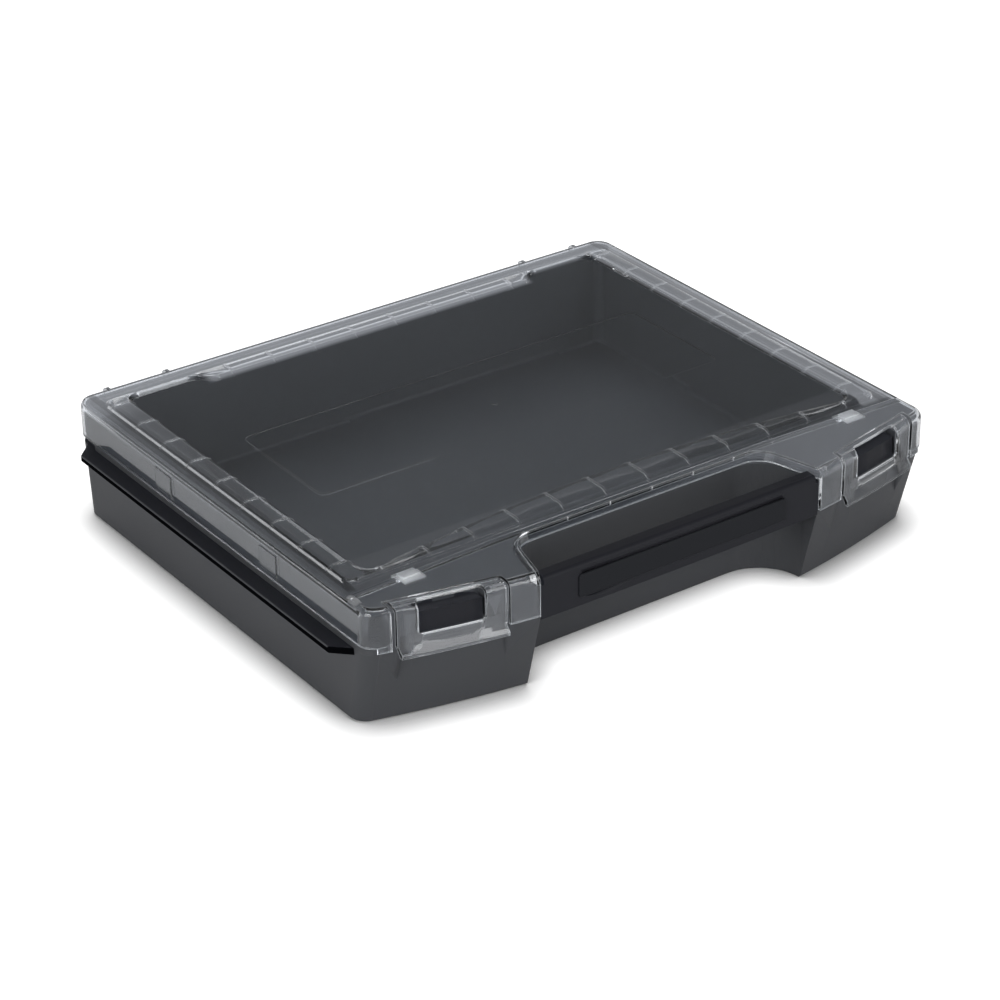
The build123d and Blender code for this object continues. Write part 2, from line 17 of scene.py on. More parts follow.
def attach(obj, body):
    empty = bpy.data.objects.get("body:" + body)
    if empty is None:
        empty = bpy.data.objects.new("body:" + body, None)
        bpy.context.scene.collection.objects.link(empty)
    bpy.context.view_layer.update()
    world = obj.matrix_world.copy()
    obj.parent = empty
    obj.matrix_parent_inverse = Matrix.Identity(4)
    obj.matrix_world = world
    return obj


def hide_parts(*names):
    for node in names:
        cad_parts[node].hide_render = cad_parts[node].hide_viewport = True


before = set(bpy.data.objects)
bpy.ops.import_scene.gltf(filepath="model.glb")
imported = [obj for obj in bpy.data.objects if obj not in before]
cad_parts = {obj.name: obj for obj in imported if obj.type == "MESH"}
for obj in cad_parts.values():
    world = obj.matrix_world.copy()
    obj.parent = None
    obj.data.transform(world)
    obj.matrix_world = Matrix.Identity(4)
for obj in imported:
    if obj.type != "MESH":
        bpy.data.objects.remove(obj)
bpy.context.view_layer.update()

LOG = logging.getLogger("parts_box")
MM = 0.001

Colour = tuple[float, float, float]
FullColour = tuple[float, float, float, float]
Point = tuple[float, float, float]
Socket = bpy.types.NodeSocket
Value = bpy.types.NodeSocket | float


class Side(Enum):
    """Left or right of the box, seen from the handle."""

    LEFT = "left"
    RIGHT = "right"


class Gives(Enum):
    """What kind of result a node group gives."""

    NUMBER = "NodeSocketFloat"
    VECTOR = "NodeSocketVector"


def grey(level: float) -> FullColour:
    """Makes a grey.

    Args:
        level: Its light, from 0 to 1.

    Returns:
        The four-part colour.
    """
    return (level, level, level, 1.0)


def shaded(colour: Colour, factor: float = 1.0) -> FullColour:
    """Makes a colour lighter or darker.

    Args:
        colour: The colour.
        factor: What each part is multiplied by.

    Returns:
        The four-part colour.
    """
    return tuple(part * factor for part in colour) + (1.0,)


class Graph:
    """Adds and joins nodes in one node tree."""

    def __init__(self, tree: bpy.types.NodeTree) -> None:
        """Keeps the tree.

        Args:
            tree: The node tree that nodes are added to.
        """
        self.tree = tree

    def add(self, kind: str, **settings: object) -> bpy.types.Node:
        """Adds one node.

        Args:
            kind: The node's type name, such as ShaderNodeMath.
            **settings: Properties of the node, set by name.

        Returns:
            The new node.
        """
        node = self.tree.nodes.new(kind)
        for name, value in settings.items():
            setattr(node, name, value)
        return node

    def find(self, kind: str) -> bpy.types.Node:
        """Finds a node that is already there.

        Args:
            kind: The node's type, such as OUTPUT_MATERIAL.

        Returns:
            The first node of that type.
        """
        return next(node for node in self.tree.nodes if node.type == kind)

    def join(self, out: Socket, into: Socket) -> None:
        """Links an output to an input.

        Args:
            out: The output.
            into: The input.
        """
        self.tree.links.new(out, into)

    def feed(self, value: object, into: Socket) -> None:
        """Links a socket to an input, or sets the input to a plain value.

        Args:
            value: A socket, a number or a four-part colour.
            into: The input.
        """
        if isinstance(value, Socket):
            self.join(value, into)
        else:
            into.default_value = value

    def math(self, operation: str, first: Value, second: Value = 0.0) -> Socket:
        """Adds a math node.

        Args:
            operation: Name of the operation, such as MULTIPLY.
            first: A socket or a number.
            second: A socket or a number.

        Returns:
            The node's result.
        """
        node = self.add("ShaderNodeMath", operation=operation)
        self.feed(first, node.inputs[0])
        self.feed(second, node.inputs[1])
        return node.outputs[0]

    def times(self, *values: Value) -> Socket:
        """Multiplies values.

        Args:
            *values: Two or more sockets or numbers.

        Returns:
            Their product.
        """
        return reduce(lambda first, second: self.math("MULTIPLY", first, second), values)

    def largest(self, *values: Value) -> Socket:
        """Picks the largest value.

        Args:
            *values: Two or more sockets or numbers.

        Returns:
            The largest of them.
        """
        return reduce(lambda first, second: self.math("MAXIMUM", first, second), values)

    def clamp(self, value: Socket) -> Socket:
        """Limits a value to the range from 0 to 1.

        Args:
            value: The value.

        Returns:
            The limited value.
        """
        return self.math("MINIMUM", self.math("MAXIMUM", value, 0.0), 1.0)

    def rest(self, share: Socket) -> Socket:
        """Takes a share from 1.

        Args:
            share: The share, from 0 to 1.

        Returns:
            What it leaves of 1.
        """
        return self.math("SUBTRACT", 1.0, share)

    def rise(self, value: Value, start: Value, width: Value) -> Socket:
        """Makes a ramp that goes from 0 to 1 and stays there.

        Args:
            value: What the ramp follows.
            start: Where it leaves 0.
            width: How far on from there it reaches 1.

        Returns:
            The ramp's height.
        """
        return self.clamp(self.math("DIVIDE", self.math("SUBTRACT", value, start), width))

    def apart(self, value: Socket, centre: Socket) -> Socket:
        """Measures how far a value is from a centre, on either side.

        Args:
            value: The value.
            centre: The centre.

        Returns:
            The distance.
        """
        return self.math("ABSOLUTE", self.math("SUBTRACT", value, centre))

    def gained(self, share: Socket, full: Value) -> Socket:
        """Goes from 1 to a full value with a share.

        Args:
            share: The share, from 0 to 1.
            full: The value at a share of 1.

        Returns:
            The value at this share.
        """
        return self.math("ADD", self.times(share, self.math("SUBTRACT", full, 1.0)), 1.0)

    def varied(self, share: Socket, spread: Value, least: Value) -> Socket:
        """Adds a varying amount to a least value.

        Args:
            share: The share of the spread that is added, from 0 to 1.
            spread: The most that is added.
            least: The value at a share of 0.

        Returns:
            The varied value.
        """
        return self.math("ADD", self.times(share, spread), least)

    def blend(self, factor: Value, first: object, second: object) -> Socket:
        """Adds a colour mix.

        Args:
            factor: Share of the second colour, a socket or a number.
            first: A socket or a four-part colour.
            second: A socket or a four-part colour.

        Returns:
            The mixed colour.
        """
        node = self.add("ShaderNodeMix", data_type="RGBA")
        colours = [socket for socket in node.inputs if socket.type == "RGBA"]
        self.feed(factor, node.inputs[0])
        self.feed(first, colours[0])
        self.feed(second, colours[1])
        return next(socket for socket in node.outputs if socket.type == "RGBA")

    def position(self) -> tuple[Socket, Socket, Socket]:
        """Reads where a surface point is in the piece's own space.

        Returns:
            Its x, y and z in metres.
        """
        place = self.add("ShaderNodeTexCoord")
        split = self.add("ShaderNodeSeparateXYZ")
        self.join(place.outputs["Object"], split.inputs[0])
        return split.outputs["X"], split.outputs["Y"], split.outputs["Z"]

    def relief(
        self, surface: bpy.types.Node, height: Socket, depth: float, normal: Socket | None = None
    ) -> None:
        """Gives a surface fine relief.

        Args:
            surface: The Principled node.
            height: Height of the relief, from 0 to 1.
            depth: Depth of the relief in metres.
            normal: The normal that it starts from, or None for the mesh's own.
        """
        bump = self.add("ShaderNodeBump")
        bump.inputs["Strength"].default_value = 1.0
        bump.inputs["Distance"].default_value = depth
        self.join(height, bump.inputs["Height"])
        if normal is not None:
            self.join(normal, bump.inputs["Normal"])
        self.join(bump.outputs["Normal"], surface.inputs["Normal"])


def start_group(
    name: str, inputs: dict[str, float], outputs: dict[str, Gives]
) -> tuple[Graph, bpy.types.Node, bpy.types.Node]:
    """Starts a node group with named sockets.

    Args:
        name: The group's name.
        inputs: Name and default of each number that goes in.
        outputs: Name and kind of each result.

    Returns:
        The group's graph, the node that gives its inputs and the node that takes its results.
    """
    tree = bpy.data.node_groups.new(name, "ShaderNodeTree")
    for label, value in inputs.items():
        socket = tree.interface.new_socket(name=label, in_out="INPUT", socket_type="NodeSocketFloat")
        socket.default_value = value
    for label, kind in outputs.items():
        tree.interface.new_socket(name=label, in_out="OUTPUT", socket_type=kind.value)
    graph = Graph(tree)
    return graph, graph.add("NodeGroupInput"), graph.add("NodeGroupOutput")


def moulded_grain_group(pit_detail: float = 2.0, tone_detail: float = 3.0) -> bpy.types.NodeTree:
    """Node group for spark-eroded mould texture: fine pits and a slow change of tone.

    Args:
        pit_detail: Octaves of the pits' noise.
        tone_detail: Octaves of the tone's noise.

    Returns:
        The group, with inputs Grain Scale and Tone Scale and outputs Height, Tone and Gloss.
    """
    graph, given, result = start_group(
        "moulded_grain",
        {"Grain Scale": 1800.0, "Tone Scale": 14.0},
        {"Height": Gives.NUMBER, "Tone": Gives.NUMBER, "Gloss": Gives.NUMBER},
    )
    place = graph.add("ShaderNodeTexCoord")
    pits = graph.add("ShaderNodeTexNoise", noise_dimensions="3D")
    tone = graph.add("ShaderNodeTexNoise", noise_dimensions="3D")
    for noise, detail, scale in ((pits, pit_detail, "Grain Scale"), (tone, tone_detail, "Tone Scale")):
        noise.inputs["Detail"].default_value = detail
        graph.join(place.outputs["Object"], noise.inputs["Vector"])
        graph.join(given.outputs[scale], noise.inputs["Scale"])
    rub_gloss_and_edge_highlight = graph.times(tone.outputs["Fac"], pits.outputs["Fac"])
    graph.join(pits.outputs["Fac"], result.inputs["Height"])
    graph.join(tone.outputs["Fac"], result.inputs["Tone"])
    graph.join(rub_gloss_and_edge_highlight, result.inputs["Gloss"])
    return graph.tree


def soft_edge_group(samples: int = 6) -> bpy.types.NodeTree:
    """Node group that finds the edges of a piece and rounds how they take light.

    Args:
        samples: Rays that look for the edge.

    Returns:
        The group, with inputs Radius in metres and Gain, and outputs Normal and Edge.
    """
    graph, given, result = start_group(
        "soft_edge",
        {"Radius": 0.0004, "Gain": 4.0},
        {"Normal": Gives.VECTOR, "Edge": Gives.NUMBER},
    )
    rounded = graph.add("ShaderNodeBevel", samples=samples)
    flat = graph.add("ShaderNodeNewGeometry")
    dot = graph.add("ShaderNodeVectorMath", operation="DOT_PRODUCT")
    graph.join(given.outputs["Radius"], rounded.inputs["Radius"])
    graph.join(rounded.outputs["Normal"], dot.inputs[0])
    graph.join(flat.outputs["Normal"], dot.inputs[1])
    strong = graph.times(graph.rest(dot.outputs["Value"]), given.outputs["Gain"])
    graph.join(rounded.outputs["Normal"], result.inputs["Normal"])
    graph.join(graph.math("MINIMUM", strong, 1.0), result.inputs["Edge"])
    return graph.tree


def tab_root_group() -> bpy.types.NodeTree:
    """Node group that finds the thin line where a latch tab bends, on both sides of the box.

    Returns:
        The group, with inputs for the line in metres and radians, the input Dark Share for the part
        of its reach that is fully dark, and output Clear, 0 on the line.
    """
    graph, given_node, result = start_group(
        "tab_root",
        {
            "Root X": 0.1374,
            "Root Y": -0.1421,
            "Root Angle": 0.2157,
            "Half Length": 0.0275,
            "Reach": 0.0014,
            "Dark Share": 0.5,
        },
        {"Clear": Gives.NUMBER},
    )
    given = given_node.outputs
    x, y, _ = graph.position()
    across = graph.math("SUBTRACT", graph.math("ABSOLUTE", x), given["Root X"])
    along = graph.math("SUBTRACT", y, given["Root Y"])
    sine = graph.math("SINE", given["Root Angle"])
    cosine = graph.math("COSINE", given["Root Angle"])
    away = graph.math("SUBTRACT", graph.times(across, sine), graph.times(along, cosine))
    off_line = graph.math("DIVIDE", graph.math("ABSOLUTE", away), given["Reach"])
    past_end = graph.math("GREATER_THAN", graph.math("ABSOLUTE", across), given["Half Length"])
    clear = graph.largest(graph.math("SUBTRACT", off_line, given["Dark Share"]), past_end)
    graph.join(graph.clamp(clear), result.inputs["Clear"])
    return graph.tree


class LidZones:
    """Node group for the zones of the lid: painted glow on the border, painted shade on strips, matt bosses
    and plain edges.

    PLACES are its inputs in metres, LEVELS its inputs that are shares and gains. Its outputs are
    Painted Glow, the share of the painted glow; Clear, the share of the painted highlight at edges;
    Groove, the share of the darker tint that paints shade; and Boss, 1 on the matt bosses of the pods.
    """

    PLACES: dict[str, float] = {
        "Side Start": 0.1600,
        "Back Start": 0.1365,
        "Back Middle Start": 0.1265,
        "Middle Half": 0.1130,
        "Border Soft": 0.0015,
        "Middle Soft": 0.0060,
        "Pod Start": -0.1150,
        "Pod Soft": 0.0040,
        "Front Y": -0.0880,
        "Low Z": 0.0660,
        "Seam Low Z": 0.0690,
        "Seam High Z": 0.07045,
        "Groove X": 0.1742,
        "Groove Half": 0.0022,
        "Boss X": 0.1446,
        "Boss Y": -0.1190,
        "Boss Half": 0.0065,
        "Far X": 0.1770,
        "Far Y": 0.1530,
        "Back Edge Y": 0.1200,
        "Tab X": 0.1374,
        "Tab Half": 0.0260,
        "Lit X": -0.1600,
        "Lit Width": 0.0500,
        "Lit Y": 0.1100,
        "Lit Depth": 0.0300,
        "Right Width": 0.1000,
        "Fade Depth": 0.2400,
    }
    LEVELS: dict[str, float] = {
        "Fade Middle": 0.45,
        "Left Level": 0.64,
        "Front Level": 0.106,
        "Right Pod Level": 0.42,
        "Tab Level": 0.35,
        "Back Gain": 1.45,
        "Rear Gain": 1.22,
        "Glow Scale": 0.533,
        "Top Edge": 0.55,
        "Skirt Edge": 0.25,
        "Front Skirt Gain": 0.75,
        "Least Edge": 0.08,
        "Far Clear": 0.35,
        "Groove Fade": 0.85,
        "Far Shade": 0.60,
        "Boss Shade": 0.25,
    }
    OUTPUTS = ("Painted Glow", "Clear", "Groove", "Boss")

    def __init__(self) -> None:
        """Starts the group and finds the zones that its results share."""
        self.graph, given_node, self.result = start_group(
            "lid_zones", self.PLACES | self.LEVELS, dict.fromkeys(self.OUTPUTS, Gives.NUMBER)
        )
        self.given = given_node.outputs
        graph, given = self.graph, self.given
        self.x, self.y, self.z = graph.position()
        self.off_middle = graph.math("ABSOLUTE", self.x)
        self.on_top = graph.math("GREATER_THAN", self.z, given["Low Z"])
        self.behind_pods = graph.rise(self.y, given["Pod Start"], given["Pod Soft"])
        off_groove = graph.apart(self.off_middle, given["Groove X"])
        near_groove = graph.math("LESS_THAN", off_groove, given["Groove Half"])
        self.in_groove = graph.times(near_groove, self.behind_pods)
        boss_x = graph.apart(self.off_middle, given["Boss X"])
        boss_y = graph.apart(self.y, given["Boss Y"])
        self.on_boss = graph.math("LESS_THAN", graph.largest(boss_x, boss_y), given["Boss Half"])
        far_side = graph.math("GREATER_THAN", self.x, given["Far X"])
        far_back = graph.math("GREATER_THAN", self.y, given["Far Y"])
        self.far = graph.times(graph.largest(far_side, far_back), self.behind_pods)

    def build(self) -> bpy.types.NodeTree:
        """Joins the results.

        Returns:
            The group.
        """
        results = (self.glow_share(), self.clear(), self.painted_shade(), self.graph.times(self.on_boss, self.on_top))
        for name, value in zip(self.OUTPUTS, results):
            self.graph.join(value, self.result.inputs[name])
        return self.graph.tree

    def border(self) -> Socket:
        """Finds the border of the lid, which is wider in the middle of the back.

        Returns:
            1 on the border, 0 on the panel.
        """
        graph, given = self.graph, self.given
        side = graph.rise(self.off_middle, given["Side Start"], given["Border Soft"])
        back = graph.rise(self.y, given["Back Start"], given["Border Soft"])
        wide = graph.rise(self.y, given["Back Middle Start"], given["Border Soft"])
        # Falls towards Middle Half, since the distance from the middle is taken from it.
        middle = graph.rise(given["Middle Half"], self.off_middle, given["Middle Soft"])
        return graph.largest(side, back, graph.times(wide, middle))

    def glow_share(self) -> Socket:
        """Works out the painted glow of the border, the right pod, the front strip and the left tab, full
        towards the right and the back and weaker on the left and towards the front.

        Returns:
            The share of painted glow.
        """
        graph, given = self.graph, self.given
        lit_from_right = graph.rise(self.x, given["Lit X"], given["Lit Width"])
        lit_from_back = graph.rise(self.y, given["Lit Y"], given["Lit Depth"])
        lit = graph.largest(lit_from_right, lit_from_back)
        along = graph.math("DIVIDE", self.y, given["Fade Depth"])
        fade = graph.clamp(graph.math("ADD", along, given["Fade Middle"]))
        left_level = graph.times(given["Left Level"], fade)
        level = graph.math("ADD", left_level, graph.times(lit, graph.rest(left_level)))
        on_pods = graph.rest(self.behind_pods)
        at_right = graph.rise(self.x, 0.0, given["Right Width"])
        in_front = graph.math("LESS_THAN", self.y, given["Front Y"])
        at_rear = graph.math("GREATER_THAN", self.y, given["Back Middle Start"])
        rear = graph.times(self.border(), level, self.behind_pods)
        pod = graph.times(at_right, given["Right Pod Level"], on_pods)
        front = graph.times(in_front, given["Front Level"], self.behind_pods)
        lit_gain = graph.gained(lit, given["Back Gain"])
        rear_gain = graph.gained(at_rear, given["Rear Gain"])
        top_glow = graph.times(graph.largest(rear, pod, front), lit_gain, rear_gain, self.on_top)
        off_tab = graph.apart(self.off_middle, given["Tab X"])
        tab_level = graph.times(given["Tab Level"], graph.rest(at_right))
        in_tab = graph.math("LESS_THAN", off_tab, given["Tab Half"])
        tab_glow = graph.times(in_tab, on_pods, tab_level, graph.rest(self.on_top))
        return graph.times(graph.math("ADD", top_glow, tab_glow), given["Glow Scale"])

    def clear(self) -> Socket:
        """Works out where edges get the painted highlight: most on the front skirts, least at the seam and
        the back.

        Returns:
            The share of the painted highlight at edges.
        """
        graph, given = self.graph, self.given
        above = graph.math("GREATER_THAN", self.z, given["Seam High Z"])
        below = graph.math("LESS_THAN", self.z, given["Seam Low Z"])
        at_front = graph.math("LESS_THAN", self.y, given["Pod Start"])
        on_skirt = graph.varied(at_front, given["Front Skirt Gain"], given["Skirt Edge"])
        top_edge = graph.times(above, given["Top Edge"])
        shown = graph.largest(top_edge, graph.times(below, on_skirt), given["Least Edge"])
        calm = graph.largest(self.far, graph.math("GREATER_THAN", self.y, given["Back Edge Y"]))
        off_far = graph.gained(calm, given["Far Clear"])
        off_groove = graph.rest(graph.times(self.in_groove, given["Groove Fade"]))
        return graph.times(shown, off_far, off_groove)

    def painted_shade(self) -> Socket:
        """Works out the painted shade: a darker tint on the grooves, the bosses and the far outer edges,
        where the clear plastic should look darker.

        Returns:
            The share of the darker tint that paints shade.
        """
        graph, given = self.graph, self.given
        boss_shade = graph.times(self.on_boss, given["Boss Shade"])
        dark = graph.times(graph.largest(self.in_groove, boss_shade), self.on_top)
        return graph.largest(dark, graph.times(self.far, given["Far Shade"]))


class Groups:
    """Node groups that several finishes share, built once."""

    def __init__(self) -> None:
        """Builds every group."""
        self.grain = moulded_grain_group()
        self.edge = soft_edge_group()
        self.tab_root = tab_root_group()
        self.zones = LidZones().build()

    @staticmethod
    def place(graph: Graph, tree: bpy.types.NodeTree, **values: float) -> bpy.types.Node:
        """Puts a group into a material.

        Args:
            graph: The material's graph.
            tree: The group.
            **values: Values of the group's inputs, with underscores for spaces.

        Returns:
            The group node.
        """
        node = graph.add("ShaderNodeGroup", node_tree=tree)
        for name, value in values.items():
            node.inputs[name.replace("_", " ")].default_value = value
        return node


def plain_material(name: str) -> tuple[bpy.types.Material, Graph, bpy.types.Node]:
    """Starts a node material.

    Args:
        name: The material's name.

    Returns:
        The material, its graph and its Principled node.
    """
    material = bpy.data.materials.new(name)
    material.use_nodes = True
    graph = Graph(material.node_tree)
    return material, graph, graph.find("BSDF_PRINCIPLED")


@dataclass(frozen=True)
class MouldedPlastic:
    """Dark opaque plastic with a moulded texture, and with a painted highlight that makes its edges paler
    above the height edge_from_z.
    """

    name: str
    colour: Colour
    tone_spread: float
    roughness: float
    roughness_spread: float
    grain_scale: float
    grain_depth: float
    edge_radius: float
    edge_gain: float
    specular: float
    edge_from_z: float = -1.0

    def build(self, groups: Groups) -> bpy.types.Material:
        """Makes the material.

        Args:
            groups: The shared node groups.

        Returns:
            The finished material.
        """
        material, graph, surface = plain_material(self.name)
        surface.inputs["Specular IOR Level"].default_value = self.specular
        _, _, height = graph.position()
        grain = groups.place(graph, groups.grain, Grain_Scale=self.grain_scale)
        edge = groups.place(graph, groups.edge, Radius=self.edge_radius)
        low = shaded(self.colour, 1.0 - self.tone_spread)
        high = shaded(self.colour, 1.0 + self.tone_spread)
        body = graph.blend(grain.outputs["Tone"], low, high)
        # Painted highlight: edges above edge_from_z get a paler colour, standing in for light caught on
        # their rounding.
        high_enough = graph.math("GREATER_THAN", height, self.edge_from_z)
        rub_gloss_and_edge_highlight = graph.times(edge.outputs["Edge"], high_enough)
        edge_highlighted = graph.blend(rub_gloss_and_edge_highlight, body, shaded(self.colour, self.edge_gain))
        graph.join(edge_highlighted, surface.inputs["Base Color"])
        rough = graph.varied(grain.outputs["Gloss"], self.roughness_spread, self.roughness)
        graph.join(rough, surface.inputs["Roughness"])
        graph.relief(surface, grain.outputs["Height"], self.grain_depth, edge.outputs["Normal"])
        return material


@dataclass(frozen=True)
class ClearPlastic:
    """Polished clear plastic with a faint tint, which lets lamp light through and has a painted glow on its
    edges and, by zone, on its border.
    """

    name: str
    colour: Colour
    shade: Colour
    roughness: float
    roughness_spread: float
    ior: float
    grain_scale: float
    tone_scale: float
    low_tone: float
    haze_depth: float
    edge_radius: float
    edge_gain: float
    edge_light: Colour
    edge_power: float
    painted_glow_colour: Colour
    groove_shade: float
    boss_roughness: float
    glow_depth: float

    def build(self, groups: Groups) -> bpy.types.Material:
        """Makes the material.

        Args:
            groups: The shared node groups.

        Returns:
            The finished material.
        """
        material, graph, surface = plain_material(self.name)
        surface.inputs["IOR"].default_value = self.ior
        surface.inputs["Transmission Weight"].default_value = 1.0
        surface.inputs["Metallic"].default_value = 0.0
        grain = groups.place(graph, groups.grain, Grain_Scale=self.grain_scale, Tone_Scale=self.tone_scale)
        edge = groups.place(graph, groups.edge, Radius=self.edge_radius, Gain=self.edge_gain)
        root = groups.place(graph, groups.tab_root)
        zones = groups.place(graph, groups.zones)
        path = graph.add("ShaderNodeLightPath")
        clear = graph.times(root.outputs["Clear"], zones.outputs["Clear"])
        lit = graph.times(edge.outputs["Edge"], clear)
        self.add_glow(graph, surface, lit, zones.outputs["Painted Glow"], path.outputs["Ray Depth"])
        low = shaded(self.colour, self.low_tone)
        body = graph.blend(grain.outputs["Tone"], low, shaded(self.colour))
        # Painted shade: the grooves, the bosses and the far outer edges take a darker tint.
        shade_tinted = graph.blend(zones.outputs["Groove"], body, shaded(self.colour, self.groove_shade))
        graph.join(shade_tinted, surface.inputs["Base Color"])
        polished = graph.varied(grain.outputs["Gloss"], self.roughness_spread, self.roughness)
        matt = graph.times(zones.outputs["Boss"], self.boss_roughness)
        graph.join(graph.math("ADD", polished, matt), surface.inputs["Roughness"])
        graph.relief(surface, grain.outputs["Tone"], self.haze_depth, edge.outputs["Normal"])
        self.let_lamps_through(graph, surface, path)
        return material

    def add_glow(
        self, graph: Graph, surface: bpy.types.Node, lit: Socket, glow_share: Socket, depth: Socket
    ) -> None:
        """Paints light on the plastic by emission: a painted highlight along its edges and a painted glow
        in its zones, on a ray's first surfaces only.

        Args:
            graph: The material's graph.
            surface: The Principled node.
            lit: The share of edge light.
            glow_share: The share of the zones' painted glow.
            depth: How many surfaces the ray has met.
        """
        # Painted highlight and painted glow: the edges get a pale emission and the zones a faint grey one,
        # standing in for light that the clear plastic gathers.
        painted_haze = graph.blend(glow_share, grey(0.0), shaded(self.painted_glow_colour))
        glow = graph.blend(lit, painted_haze, shaded(self.edge_light))
        shallow = graph.math("LESS_THAN", depth, self.glow_depth)
        graph.join(graph.blend(shallow, grey(0.0), glow), surface.inputs["Emission Color"])
        surface.inputs["Emission Strength"].default_value = self.edge_power

    def let_lamps_through(self, graph: Graph, surface: bpy.types.Node, path: bpy.types.Node) -> None:
        """Lets lamp light through, so that the plastic does not shade the tray like a solid.

        Args:
            graph: The material's graph.
            surface: The Principled node.
            path: The Light Path node.
        """
        through = graph.add("ShaderNodeBsdfTransparent")
        through.inputs["Color"].default_value = shaded(self.shade)
        mix = graph.add("ShaderNodeMixShader")
        graph.join(path.outputs["Is Shadow Ray"], mix.inputs[0])
        graph.join(surface.outputs["BSDF"], mix.inputs[1])
        graph.join(through.outputs["BSDF"], mix.inputs[2])
        graph.join(mix.outputs["Shader"], graph.find("OUTPUT_MATERIAL").inputs["Surface"])


@dataclass(frozen=True)
class DrawnSteel:
    """Bright drawn wire with a fine uneven surface."""

    name: str
    colour: Colour
    dull_share: float
    roughness: float
    roughness_spread: float
    grain_scale: float
    tone_scale: float
    grain_depth: float

    def build(self, groups: Groups) -> bpy.types.Material:
        """Makes the material.

        Args:
            groups: The shared node groups.

        Returns:
            The finished material.
        """
        material, graph, surface = plain_material(self.name)
        surface.inputs["Metallic"].default_value = 1.0
        grain = groups.place(graph, groups.grain, Grain_Scale=self.grain_scale, Tone_Scale=self.tone_scale)
        body = graph.blend(grain.outputs["Tone"], shaded(self.colour, self.dull_share), shaded(self.colour))
        graph.join(body, surface.inputs["Base Color"])
        rough = graph.varied(grain.outputs["Gloss"], self.roughness_spread, self.roughness)
        graph.join(rough, surface.inputs["Roughness"])
        graph.relief(surface, grain.outputs["Height"], self.grain_depth)
        return material


@dataclass(frozen=True)
class Finishes:
    """The six finishes of the box."""

    tray: MouldedPlastic = MouldedPlastic(
        name="tray_plastic",
        colour=(0.0580, 0.0606, 0.0668),
        tone_spread=0.06,
        roughness=0.42,
        roughness_spread=0.2,
        grain_scale=1500.0,
        grain_depth=0.00004,
        edge_radius=0.0004,
        edge_gain=1.6,
        specular=0.3,
    )
    grip: MouldedPlastic = MouldedPlastic(
        name="grip_plastic",
        colour=(0.0205, 0.0212, 0.0262),
        tone_spread=0.05,
        roughness=0.38,
        roughness_spread=0.15,
        grain_scale=1900.0,
        grain_depth=0.00002,
        edge_radius=0.0004,
        edge_gain=1.8,
        specular=0.12,
    )
    plate: MouldedPlastic = MouldedPlastic(
        name="plate_plastic",
        colour=(0.0180, 0.0192, 0.0228),
        tone_spread=0.05,
        roughness=0.34,
        roughness_spread=0.1,
        grain_scale=2200.0,
        grain_depth=0.00001,
        edge_radius=0.0003,
        edge_gain=1.8,
        specular=0.08,
    )
    # Near-black, with no reflection: painted shade on the rails' sides and undersides, which are the tray's
    # own plastic; its paler top edge is a painted highlight line.
    rail: MouldedPlastic = MouldedPlastic(
        name="rail_painted_shade",
        colour=(0.0022, 0.0024, 0.0030),
        tone_spread=0.06,
        roughness=0.38,
        roughness_spread=0.1,
        grain_scale=2200.0,
        grain_depth=0.00001,
        edge_radius=0.0003,
        edge_gain=3.0,
        specular=0.0,
        edge_from_z=0.0452,
    )
    clear: ClearPlastic = ClearPlastic(
        name="clear_plastic",
        colour=(0.93, 0.955, 0.985),
        shade=(0.84, 0.86, 0.88),
        roughness=0.02,
        roughness_spread=0.05,
        ior=1.52,
        grain_scale=220.0,
        tone_scale=9.0,
        low_tone=0.985,
        haze_depth=0.00002,
        edge_radius=0.0005,
        edge_gain=4.0,
        # Emission colours: a painted highlight on the edges and a painted glow in the zones.
        edge_light=(0.72, 0.76, 0.80),
        edge_power=0.55,
        painted_glow_colour=(0.184, 0.191, 0.205),
        groove_shade=0.4,
        boss_roughness=0.55,
        glow_depth=2.5,
    )
    steel: DrawnSteel = DrawnSteel(
        name="pin_steel",
        colour=(0.55, 0.56, 0.58),
        dull_share=0.8,
        roughness=0.25,
        roughness_spread=0.3,
        grain_scale=900.0,
        tone_scale=60.0,
        grain_depth=0.00001,
    )


def deselect_all() -> None:
    """Leaves nothing selected."""
    for other in bpy.context.selected_objects:
        other.select_set(False)


@dataclass
class Moulding:
    """A piece that takes its shape from one node of the frame."""

    node: str
    piece_name: str
    body: str
    slot: str
    smooth_angle: float = 28.0
    weld: float = 0.00001
    flat_angle: float = 0.1
    face_weight: int = 100

    def build(self) -> bpy.types.Object:
        """Copies the node's mesh, welds its triangles and shades its round faces smooth.

        Returns:
            The new piece, which stands for the node.
        """
        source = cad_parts[self.node]
        piece = bpy.data.objects.new(self.piece_name, source.data.copy())
        piece.data.name = self.piece_name
        bpy.context.scene.collection.objects.link(piece)
        deselect_all()
        piece.select_set(True)
        bpy.context.view_layer.objects.active = piece
        bpy.ops.object.mode_set(mode="EDIT")
        bpy.ops.mesh.select_all(action="SELECT")
        bpy.ops.mesh.remove_doubles(threshold=self.weld)
        bpy.ops.mesh.dissolve_limited(angle_limit=math.radians(self.flat_angle))
        bpy.ops.object.mode_set(mode="OBJECT")
        bpy.ops.object.shade_smooth_by_angle(angle=math.radians(self.smooth_angle))
        weighted = piece.modifiers.new("flat_faces_first", "WEIGHTED_NORMAL")
        weighted.mode = "FACE_AREA"
        weighted.weight = self.face_weight
        weighted.keep_sharp = True
        bpy.ops.object.modifier_apply(modifier=weighted.name)
        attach(piece, self.body)
        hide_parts(self.node)
        return piece

    def dress(self, piece: bpy.types.Object, finish: bpy.types.Material) -> None:
        """Gives the piece its finish.

        Args:
            piece: The piece that build made.
            finish: Its material.
        """
        piece.data.materials.clear()
        piece.data.materials.append(finish)
        LOG.info("%s: %d faces, finish %s", piece.name, len(piece.data.polygons), finish.name)


